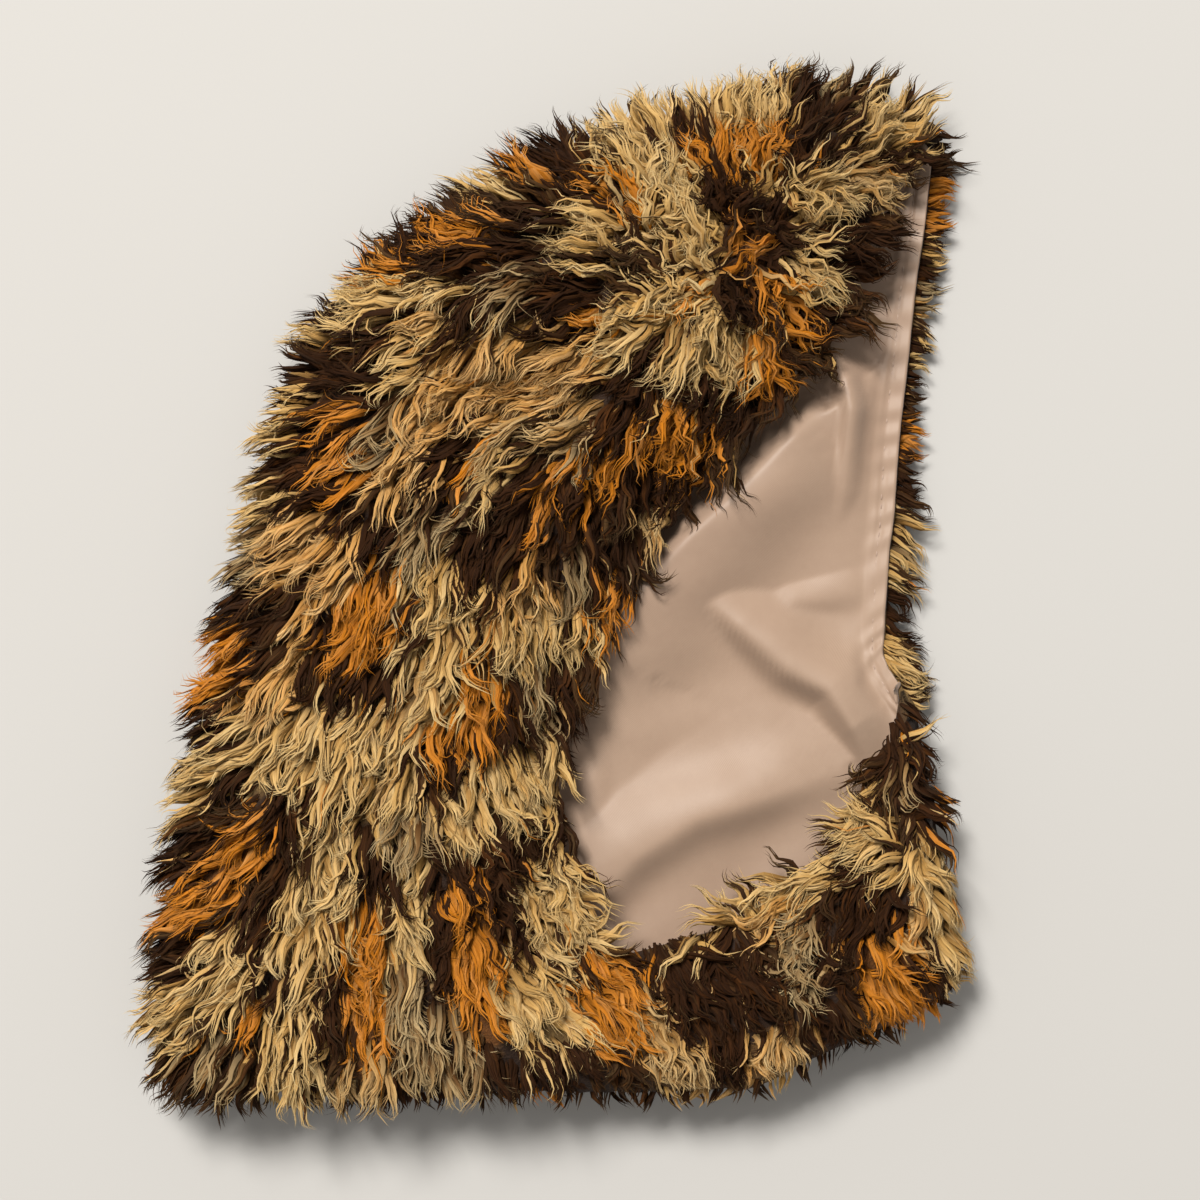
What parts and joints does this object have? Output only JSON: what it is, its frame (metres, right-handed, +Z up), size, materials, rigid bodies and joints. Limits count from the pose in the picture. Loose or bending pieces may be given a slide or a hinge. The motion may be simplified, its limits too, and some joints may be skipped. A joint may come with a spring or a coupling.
{
  "type": "leopard costume hat",
  "caption": "Long-pile leopard print fur hood with a satin lining, laid flat on its side, open at the face and the neck.",
  "frame": {"origin": "middle of the footprint of the lying hood, on the floor", "axes": "+Z up from the floor, +Y from the hem towards the crown, +X from the back of the head towards the face"},
  "size_m": [0.2988, 0.3646, 0.0563],
  "materials": {
    "fur": "long wavy pile, leopard print in cream, orange and dark brown",
    "lining": "pink beige satin with a soft sheen"
  },
  "bodies": {
    "root": {"near_side": "fur", "far_side": "fur", "near_lining": "lining", "far_lining": "lining"}
  },
  "joints": []
}
